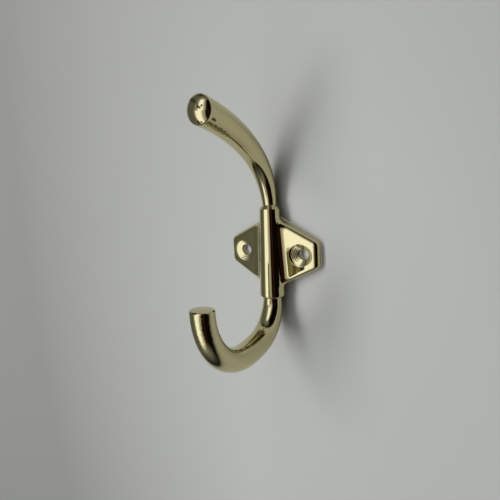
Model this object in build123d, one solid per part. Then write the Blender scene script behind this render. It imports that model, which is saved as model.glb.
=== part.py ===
"""Coat and hat hook: one die-cast piece, plated in a pale brass colour.

Frame: +Z is up, the back lies in the plane y = 0 and both arms reach toward -Y.
The origin is on the back, midway between the two screw holes. Sizes are in mm.
"""
from build123d import *
from math import cos, pi, radians, sin
import os

# Ears of the back plate
EAR_HALF_WIDTH = 18.4        # centre plane to the end of an ear
EAR_END_HALF_HEIGHT = 4.7    # half height of the straight end of an ear
EAR_ROOT_HALF_HEIGHT = 14.1  # half height the slanted edges would reach at the centre plane
EAR_CORNER_RADIUS = 2.6
EAR_END_THICKNESS = 3.2
EAR_ROOT_THICKNESS = 5.6     # thickness the sloping front would reach at the centre plane
EAR_EDGE_RADIUS = 2.1        # rounding of the front edge

# Screw holes, countersunk from the front
HOLE_TO_END = 6.1            # hole axis to the end of its ear
HOLE_RADIUS = 2.1
SINK_RADIUS = 4.1
SINK_RIM_RADIUS = 0.25

# Upright bar between the two arms, thicker at its lower end
BAR_PAST_EARS = 2.55         # bar end beyond the height the ears would reach at the centre plane
BAR_TOP_RADIUS = 3.75
BAR_BOTTOM_RADIUS = 4.75
BAR_BACK_FLAT = 0.15         # depth that the flat back takes off the round bar
BAR_TOP_SHOULDER = 1.6       # height of the sloping shoulder under the upper arm
BAR_BOTTOM_ROUND = 1.25
BAR_EAR_FILLET = 2.0         # hollow between the bar and each ear

# Arms: centre line as (reach from the wall, distance past the bar's end), its last point a
# little past the end face, and four control values of the radius from root to tip
UPPER_LINE = [(4.3, 6.75), (8.3, 15.15), (15.9, 22.85), (24.0, 28.05), (32.5, 31.85), (43.2, 35.15)]
UPPER_RADII = (2.4, 3.95, 4.4, 4.6)
LOWER_LINE = [(6.3, 6.65), (11.1, 12.05), (19.6, 14.75), (28.9, 14.65), (37.0, 11.25),
              (43.5, 3.45), (45.7, -10.65)]
LOWER_RADII = (3.4, 5.35, 3.85, 4.05)
ARM_SECTIONS = 16            # stations of each arm's skin

# End faces of the arms, each a dome; an angle says how far it looks up from straight forward
UPPER_FACE_ANGLE = 10.0
UPPER_DOME_HEIGHT = 2.05
UPPER_RIM_RADIUS = 1.0
LOWER_FACE_ANGLE = 94.0
LOWER_DOME_HEIGHT = 0.35
LOWER_RIM_RADIUS = 0.6
FACE_TRIM = 1.6              # length past the middle of an end face that is cut away


def bar_half_height():
    """Half the length of the bar, which reaches past the ears above and below."""
    return EAR_ROOT_HALF_HEIGHT + BAR_PAST_EARS


def bar_reach(radius):
    """Distance from the wall to the middle of the bar where it has this radius."""
    return radius - BAR_BACK_FLAT


def ear_thickness(x):
    """Thickness of an ear at a distance from the centre plane, before its edge is rounded."""
    return EAR_ROOT_THICKNESS - abs(x) * (EAR_ROOT_THICKNESS - EAR_END_THICKNESS) / EAR_HALF_WIDTH


def ears():
    """Both ears as one hexagonal plate with a front that slopes to the ends and a rounded front edge."""
    w, e, r = EAR_HALF_WIDTH, EAR_END_HALF_HEIGHT, EAR_ROOT_HALF_HEIGHT
    outline = Polygon((w, -e), (w, e), (0, r), (-w, e), (-w, -e), (0, -r), align=None)
    ends = outline.vertices().filter_by(lambda v: abs(v.X) > w / 2)
    outline = fillet(ends, EAR_CORNER_RADIUS)
    slab = extrude(Plane.XZ * outline, EAR_ROOT_THICKNESS)
    front = Polygon((-w, 0), (-w, -EAR_END_THICKNESS), (0, -EAR_ROOT_THICKNESS),
                    (w, -EAR_END_THICKNESS), (w, 0), align=None)
    plate = slab & extrude(front, r, both=True)
    rim = plate.edges().filter_by(lambda g: g.center().Y < -EAR_END_THICKNESS * 0.9
                                  and abs(g.center().X) > 0.01)
    return fillet(rim, EAR_EDGE_RADIUS)


def bar():
    """Round tapering bar with a sloping shoulder at its thin upper end and a rounded lower end."""
    low = Vector(0, -bar_reach(BAR_BOTTOM_RADIUS), -bar_half_height())
    high = Vector(0, -bar_reach(BAR_TOP_RADIUS), bar_half_height())
    rise = high - low
    bottom = Plane(origin=low, x_dir=(0, rise.Z, -rise.Y), z_dir=rise)
    length = rise.length
    upright = (Align.CENTER, Align.CENTER, Align.MIN)
    body = bottom * Cone(BAR_BOTTOM_RADIUS, BAR_TOP_RADIUS, length, align=upright)
    body = fillet(body.edges().sort_by(Axis.Z)[0], BAR_BOTTOM_ROUND)
    return body + bottom.offset(length) * Cone(BAR_TOP_RADIUS, UPPER_RADII[0], BAR_TOP_SHOULDER, align=upright)


def screw_hole(x):
    """Countersunk hole through an ear, square to the back."""
    depth = ear_thickness(x)
    past = 1.5
    at = Plane(origin=(x, 0, 0), x_dir=(1, 0, 0), z_dir=(0, -1, 0))
    shank = extrude(at * Circle(HOLE_RADIUS), 3 * depth, both=True)
    cone = loft([at.offset(depth - SINK_RADIUS + HOLE_RADIUS) * Circle(HOLE_RADIUS),
                 at.offset(depth + past) * Circle(SINK_RADIUS + past)])
    return shank + cone


def arm(line, radii, root_radius, way, face_angle, dome_height, rim_radius):
    """Arm of round section from inside the bar along a smooth line, ending in a dome."""
    root = Vector(0, -bar_reach(root_radius), way * (bar_half_height() - 1.0))
    path = Spline(root, *[Vector(0, -reach, way * (bar_half_height() + past)) for reach, past in line])
    a, b, c, d = radii
    sections = []
    for i in range(ARM_SECTIONS + 1):
        t = i / ARM_SECTIONS
        radius = a * (1 - t) ** 3 + 3 * b * t * (1 - t) ** 2 + 3 * c * t ** 2 * (1 - t) + d * t ** 3
        at = path.position_at(t * path.length, position_mode=PositionMode.LENGTH)
        along = path.tangent_at(t * path.length, position_mode=PositionMode.LENGTH)
        sections.append(Plane(origin=at, x_dir=(1, 0, 0), z_dir=along) * Circle(radius))
    middle = (path @ 1) - (path % 1) * FACE_TRIM
    outward = Vector(0, -cos(radians(face_angle)), sin(radians(face_angle)))
    dome = (d * d + dome_height * dome_height) / (2 * dome_height)
    centre = Plane(origin=middle - outward * dome, x_dir=-outward, z_dir=(1, 0, 0))
    block = Plane(origin=middle - outward * d, x_dir=(1, 0, 0), z_dir=outward)
    beyond = extrude(block * Circle(2 * d), 3 * d) - centre * Sphere(dome)
    tip = loft(sections) - beyond
    rim = tip.faces().filter_by(GeomType.SPHERE)[0].edges()
    return fillet(rim, rim_radius)


def hook():
    """The whole casting."""
    body = ears() + bar()
    reach = 4 * BAR_BOTTOM_RADIUS
    body &= Pos(0, -reach / 2, 0) * Box(4 * EAR_HALF_WIDTH, reach, 4 * bar_half_height())
    joints = body.edges().filter_by(lambda g: abs(g.center().X) < BAR_BOTTOM_RADIUS
                                    and abs(g.center().Z) < EAR_ROOT_HALF_HEIGHT
                                    and g.center().Y < -BAR_BACK_FLAT)
    body = fillet(joints, BAR_EAR_FILLET)
    for side in (-1, 1):
        body -= screw_hole(side * (EAR_HALF_WIDTH - HOLE_TO_END))
    rims = body.edges().filter_by(lambda g: abs(g.length - 2 * pi * SINK_RADIUS) < SINK_RADIUS / 5
                                  and g.center().Y < -EAR_END_THICKNESS)
    body = fillet(rims, SINK_RIM_RADIUS)
    body += arm(UPPER_LINE, UPPER_RADII, BAR_TOP_RADIUS, 1,
                UPPER_FACE_ANGLE, UPPER_DOME_HEIGHT, UPPER_RIM_RADIUS)
    body += arm(LOWER_LINE, LOWER_RADII, BAR_BOTTOM_RADIUS, -1,
                LOWER_FACE_ANGLE, LOWER_DOME_HEIGHT, LOWER_RIM_RADIUS)
    return body


if __name__ == "__main__":
    os.makedirs("parts", exist_ok=True)
    export_step(hook(), "parts/hook.step")
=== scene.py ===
import bpy
from math import cos, radians, sin
from mathutils import Matrix, Vector

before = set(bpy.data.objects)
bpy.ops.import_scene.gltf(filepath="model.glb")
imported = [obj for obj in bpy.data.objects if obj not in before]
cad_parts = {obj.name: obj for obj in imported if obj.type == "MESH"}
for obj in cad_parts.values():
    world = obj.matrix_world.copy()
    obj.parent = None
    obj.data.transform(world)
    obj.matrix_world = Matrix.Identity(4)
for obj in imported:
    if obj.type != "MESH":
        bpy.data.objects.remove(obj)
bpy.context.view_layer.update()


# Hook
#
# One die-cast piece: two ears, an upright bar and two arms. It is plated in a pale brass colour and
# polished, so that nearly all of its look is reflection. Two wood screws would hold it to the wall.
class Socket:
    """One output of a shader node: arithmetic on it adds Math nodes, and node() adds any other node."""

    def __init__(self, tree, output=None):
        self.tree = tree
        self.output = output

    def node(self, kind, settings, sockets, output=0):
        """Add a node, set it up, then give its sockets values or links."""
        made = self.tree.nodes.new(kind)
        for name, value in settings.items():
            if name == "stops":
                ramp = made.color_ramp.elements
                for position, colour in value[1:-1]:
                    ramp.new(position)
                for stop, (position, colour) in zip(ramp, value):
                    stop.position = position
                    stop.color = (*colour, 1)
            else:
                setattr(made, name, value)
        for name, value in sockets.items():
            if isinstance(value, Socket):
                self.tree.links.new(value.output, made.inputs[name])
            else:
                made.inputs[name].default_value = value
        return Socket(self.tree, made.outputs[output] if made.outputs else None)

    def math(self, operation, *values):
        return self.node("ShaderNodeMath", {"operation": operation}, dict(enumerate(values)))

    def __add__(self, other):
        return self.math("ADD", self, other)

    def __radd__(self, other):
        return self.math("ADD", other, self)

    def __sub__(self, other):
        return self.math("SUBTRACT", self, other)

    def __rsub__(self, other):
        return self.math("SUBTRACT", other, self)

    def __mul__(self, other):
        return self.math("MULTIPLY", self, other)

    def __rmul__(self, other):
        return self.math("MULTIPLY", other, self)

    def __abs__(self):
        return self.math("ABSOLUTE", self)

    def at_least(self, low):
        return self.math("MAXIMUM", self, low)

    def at_most(self, high):
        return self.math("MINIMUM", self, high)

    def fade(self, low, high):
        """0 where this value is at low, 1 where it is at high, and smooth between them."""
        return self.node("ShaderNodeMapRange", {"interpolation_type": "SMOOTHSTEP"},
                         {"Value": self, "From Min": low, "From Max": high})

    def blend(self, first, second):
        """The first colour where this mask is 0, and the second where it is 1."""
        return self.node("ShaderNodeMix", {"data_type": "RGBA"}, {0: self, 6: first, 7: second}, 2)

    def axes(self):
        """The X, Y and Z of this vector."""
        return [self.node("ShaderNodeSeparateXYZ", {}, {"Vector": self}, axis) for axis in "XYZ"]

    def distance(self, point):
        """How far this place is from a point."""
        return self.node("ShaderNodeVectorMath", {"operation": "DISTANCE"}, {0: self, 1: point}, "Value")


def new_material(name):
    """A material without nodes, and a Socket that nodes can be added from."""
    material = bpy.data.materials.new(name)
    material.use_nodes = True
    material.node_tree.nodes.clear()
    return material, Socket(material.node_tree)


def spots(place, centres, noise, wobble):
    """1 inside any of some round spots, given as (centre, radius) in mm, with edges that the noise frays.

    An edge fades from 1.15 to 0.75 of the radius, which the noise shifts by half of wobble at most.
    """
    inside = 0
    for centre, radius in centres:
        reach = place.distance([c / 1000 for c in centre])
        ratio = reach * (1000 / radius) + wobble * (noise - 0.5)
        inside = ratio.fade(1.15, 0.75).at_least(inside)
    return inside


plating, start = new_material("pale brass plating")
place = start.node("ShaderNodeTexCoord", {}, {}, "Object")
across, along, height = place.axes()
fine = start.node("ShaderNodeTexNoise", {}, {"Vector": place, "Scale": 2400.0, "Detail": 2.0})
coarse = start.node("ShaderNodeTexNoise", {}, {"Vector": place, "Scale": 650.0, "Detail": 1.0})

# Wear: a pit beside the upper arm's end, scuffs on its end face and nicks at the lower arm's end
pit = spots(place, [
    ((3.8, -38.3, 47.95), 0.5), ((3.8, -37.7, 47.7), 0.5), ((3.8, -37.2, 47.45), 0.42)], fine, 0.9)
scuffs = spots(place, [
    ((-1.9, -40.4, 53.7), 0.8), ((-0.7, -40.9, 53.3), 0.55), ((0.2, -41.2, 52.8), 0.4),
    ((0.8, -41.3, 52.3), 0.35), ((1.1, -41.5, 51.5), 0.5), ((2.3, -41.1, 51.7), 0.35),
    ((1.7, -41.4, 51.2), 0.35), ((0.5, -40.8, 47.2), 0.5), ((1.4, -40.6, 47.2), 0.35)], fine, 1.4)
nicks = spots(place, [
    ((-0.3, -49.8, -7.7), 0.35), ((0.4, -49.7, -7.7), 0.3), ((3.8, -45.2, -8.0), 0.35)], fine, 0.8)

# Ripple: slight all over, stronger on the worn upper end face and on the rough tip of the lower arm
worn_end = height.fade(0.0465, 0.0480) * along.fade(-0.0385, -0.0400)
rough_tip = height.fade(-0.004, -0.007) * height.fade(-0.030, -0.018) * along.fade(-0.040, -0.044)
lumps = 0.2 + 3.2 * rough_tip + 0.7 * worn_end
waves = 0.6 + 4.0 * rough_tip
ripple = fine * lumps + waves * coarse

# Countersinks: the reflection leans as in a shallower cone, more on the left ear, and shows faint
# turning rings 0.55 mm apart. Both end at the rim of the hole and at the rim of the countersink.
hole_place, hole_radius, sink_radius = 0.0123, 0.0021, 0.0041
sink_lean, sink_lean_by_side = 64000, 1.9e6
ring_rate, ring_depth = 11400, 1.6e6
outward = abs(across)
flat = start.node("ShaderNodeCombineXYZ", {}, {"X": outward, "Z": height})
from_hole = flat.distance((hole_place, 0, 0))
ring = from_hole.at_least(hole_radius).at_most(sink_radius)
dish = (sink_radius - ring) * (sink_lean - sink_lean_by_side * across)
turning = start.math("SINE", ring_rate * from_hole) * (ring - hole_radius) * (sink_radius - ring) * ring_depth

# Hollow between the bar and the ears: a wider strip along the bar's tapering side leans its
# reflection toward the bar. It fades out at the ends of the bar, so the arms keep their own.
bar_half_height, bar_side, bar_taper, end_taper = 0.0165, 0.00545, 0.051, 1.1
hollow_width, hollow_overlap, hollow_lean = 0.002, 0.0009, 7e6
past_bar = (abs(height) - bar_half_height).at_least(0)
from_bar = (outward + bar_taper * height - end_taper * past_bar - bar_side).at_least(-hollow_overlap)
near_bar = (hollow_width - from_bar).at_least(0)
hollow = near_bar * near_bar * hollow_lean

# The flat back keeps only the ripple. One unit of the relief's height is a hundredth of a mm.
off_wall = along.fade(-0.0001, -0.0003)
pit_depth, scuff_depth = 3.0, 1.5
relief = start.node("ShaderNodeBump", {}, {
    "Height": ripple + (dish + turning + hollow) * off_wall - pit_depth * pit - scuff_depth * scuffs,
    "Distance": 1e-5,
    "Strength": 1.0})

brass, scuffed = (0.60, 0.535, 0.30, 1), (0.10, 0.075, 0.035, 1)
pitted, nicked = (0.13, 0.08, 0.012, 1), (0.05, 0.015, 0.008, 1)
shine = start.node("ShaderNodeBsdfPrincipled", {}, {
    "Base Color": nicks.blend(pit.blend(scuffs.blend(brass, scuffed), pitted), nicked),
    "Metallic": 1 - 0.7 * pit,
    "Roughness": 0.05 + 0.35 * pit + 0.2 * scuffs + 0.05 * worn_end,
    "Normal": relief})
start.node("ShaderNodeOutputMaterial", {}, {"Surface": shine})
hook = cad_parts["hook"]
hook.data.materials.clear()
hook.data.materials.append(plating)


# Wall
#
# The pale painted wall behind the hook, 0.3 mm off its back. It is the stage and no part of the hook.
# It holds painted light: a painted pool of light near the hook and painted shade away from it, which
# only the hook mirrors, and the camera sees it pale there. It lets rays through from behind and close by.
half, gap = 3.0, 0.0003
mesh = bpy.data.meshes.new("wall")
mesh.from_pydata([(-half, gap, -half), (half, gap, -half), (half, gap, half), (-half, gap, half)], [],
                 [(0, 1, 2, 3)])
wall = bpy.data.objects.new("wall", mesh)
bpy.context.scene.collection.objects.link(wall)

# Painted pool of light: brightness by distance in metres from its centre, to the right of the hook and
# below it. Height counts for less than half in that distance, so the painted pool is tall.
painted_pool_centre, squash = (0.03, gap, -0.035), (1, 1, 0.45)
painted_falloff = [(0, 0.368), (0.05, 0.368), (0.11, 0.302), (0.16, 0.249), (0.20, 0.211), (0.30, 0.12),
           (0.50, 0.05), (1.0, 0.03)]
camera_sees, close_by = (0.211, 0.2135, 0.2015, 1), 0.001
# The wall's colour carries the painted pool of light and the painted shade around it
paint, start = new_material("wall paint and painted light")
place = start.node("ShaderNodeTexCoord", {}, {}, "Object")
squashed = start.node("ShaderNodeVectorMath", {"operation": "MULTIPLY"}, {0: place, 1: squash})
stops = [(reach, (bright, bright * 1.012, bright * 0.955)) for reach, bright in painted_falloff]
painted_pool_tint = start.node("ShaderNodeValToRGB", {"stops": stops}, {"Fac": squashed.distance(painted_pool_centre)})
# Camera rays see the lighter of the painted pool of light and a plain pale backdrop; the hook's mirror also
# sees the painted shade beyond
seen = start.node("ShaderNodeLightPath", {}, {}, "Is Camera Ray")
pale = start.node("ShaderNodeMix", {"data_type": "RGBA", "blend_type": "LIGHTEN"},
                  {0: seen, 6: painted_pool_tint, 7: camera_sees}, 2)
matt = start.node("ShaderNodeBsdfDiffuse", {}, {"Color": pale})
clear = start.node("ShaderNodeBsdfTransparent", {}, {})
behind = start.node("ShaderNodeNewGeometry", {}, {}, "Backfacing")
length = start.node("ShaderNodeLightPath", {}, {}, "Ray Length")
see_through = behind.at_least(start.math("LESS_THAN", length, close_by))
mixed = start.node("ShaderNodeMixShader", {}, {0: see_through, 1: matt, 2: clear})
start.node("ShaderNodeOutputMaterial", {}, {"Surface": mixed})
mesh.materials.append(paint)


# Studio
#
# The hook mirrors the world: a tall bright window ahead and a little to the left, a dim room on the
# left, a dark one on the right, and a dim ceiling and floor. A soft lamp on the left, which the hook
# does not mirror, gives the shadow on the wall. The camera sees a plain pale background.
def grey(value):
    return value, value, value


studio = bpy.data.worlds.new("studio")
studio.use_nodes = True
studio.node_tree.nodes.clear()
bpy.context.scene.world = studio
start = Socket(studio.node_tree)
sideways, inward, rise = start.node("ShaderNodeTexCoord", {}, {}, "Generated").axes()
forward = -1 * inward

# Colours round the room, by the angle in degrees from straight ahead to the right: one ring below the
# level of the hook and one above it
dim, window = (0.134, 0.143, 0.13), (1.50, 1.55, 1.68)
dark, red = (0.004, 0.003, 0.002), (0.04, 0.012, 0.008)
lower = [(-180, grey(0.45)), (-100, grey(0.30)), (-88, dim), (-50, dim), (-38, grey(0.35)),
         (-31, window), (-3, window), (4, grey(0.9)), (9, (0.48, 0.47, 0.46)), (21, (0.46, 0.45, 0.44)),
         (25, dark), (34, dark), (38, red), (48, red), (54, dark), (95, dark), (107, grey(0.40)),
         (180, grey(0.45))]
upper = [(-180, grey(0.45)), (-100, grey(0.20)), (-88, dim), (-46, dim), (-34, grey(0.30)),
         (-21, (0.36, 0.36, 0.37)), (-13, window), (9, window), (14, (0.85, 0.85, 0.88)),
         (20, grey(0.60)), (27, grey(0.22)), (33, dark), (95, dark), (107, grey(0.40)),
         (180, grey(0.45))]
turned = start.math("ARCTAN2", sideways, forward) * (0.5 / radians(180)) + 0.5
rings = []
for around in (lower, upper):
    stops = [((angle + 180) / 360, colour) for angle, colour in around]
    rings.append(start.node("ShaderNodeValToRGB", {"stops": stops}, {"Fac": turned}))

# The two rings of wall meet a little above level, and floor and ceiling are paler ahead than behind
room = rise.fade(-0.02, 0.20).blend(*rings)
ends = forward.fade(0.0, 0.5).blend((*grey(0.02), 1), (*grey(0.25), 1))
light = rise.fade(-0.75, -0.92).blend(rise.fade(0.80, 0.93).blend(room, ends), ends)
seen = start.node("ShaderNodeLightPath", {}, {}, "Is Camera Ray")
glow = start.node("ShaderNodeBackground", {}, {
    "Color": seen.blend(light, (0.44, 0.44, 0.42, 1)), "Strength": 1.0})
start.node("ShaderNodeOutputWorld", {}, {"Surface": glow})

soft = bpy.data.lights.new("soft lamp", "AREA")
soft.shape = "RECTANGLE"
soft.size = 0.22
soft.size_y = 0.90
soft.energy = 6.3
lamp = bpy.data.objects.new("soft lamp", soft)
lamp_place = Vector((-0.36, -0.68, 0.14))
lamp.location = lamp_place
lamp.rotation_euler = lamp_place.to_track_quat("Z", "Y").to_euler()
lamp.visible_glossy = False
bpy.context.scene.collection.objects.link(lamp)


# Camera
#
# A hand-held camera about 18 cm from the hook, to the right and above, tilted by a few degrees. Its
# focal length was measured in pixels of the photograph, which is 500 pixels wide.
camera_place = (0.090444, -0.152075, 0.042453)
azimuth, elevation, roll = radians(34.0), radians(13.24), radians(-3.6)
focal_pixels, image_pixels, sensor_width = 482.25, 500, 36
back = Vector((sin(azimuth) * cos(elevation), -cos(azimuth) * cos(elevation), sin(elevation)))
level = Vector((cos(azimuth), sin(azimuth), 0))
right = level * cos(roll) + back.cross(level) * sin(roll)
up = back.cross(right)
lens = bpy.data.cameras.new("camera")
lens.lens = focal_pixels / image_pixels * sensor_width
eye = bpy.data.objects.new("camera", lens)
eye.matrix_world = Matrix.Translation(camera_place) @ Matrix((right, up, back)).transposed().to_4x4()
bpy.context.scene.collection.objects.link(eye)
bpy.context.scene.camera = eye
bpy.context.scene.view_settings.view_transform = "Standard"
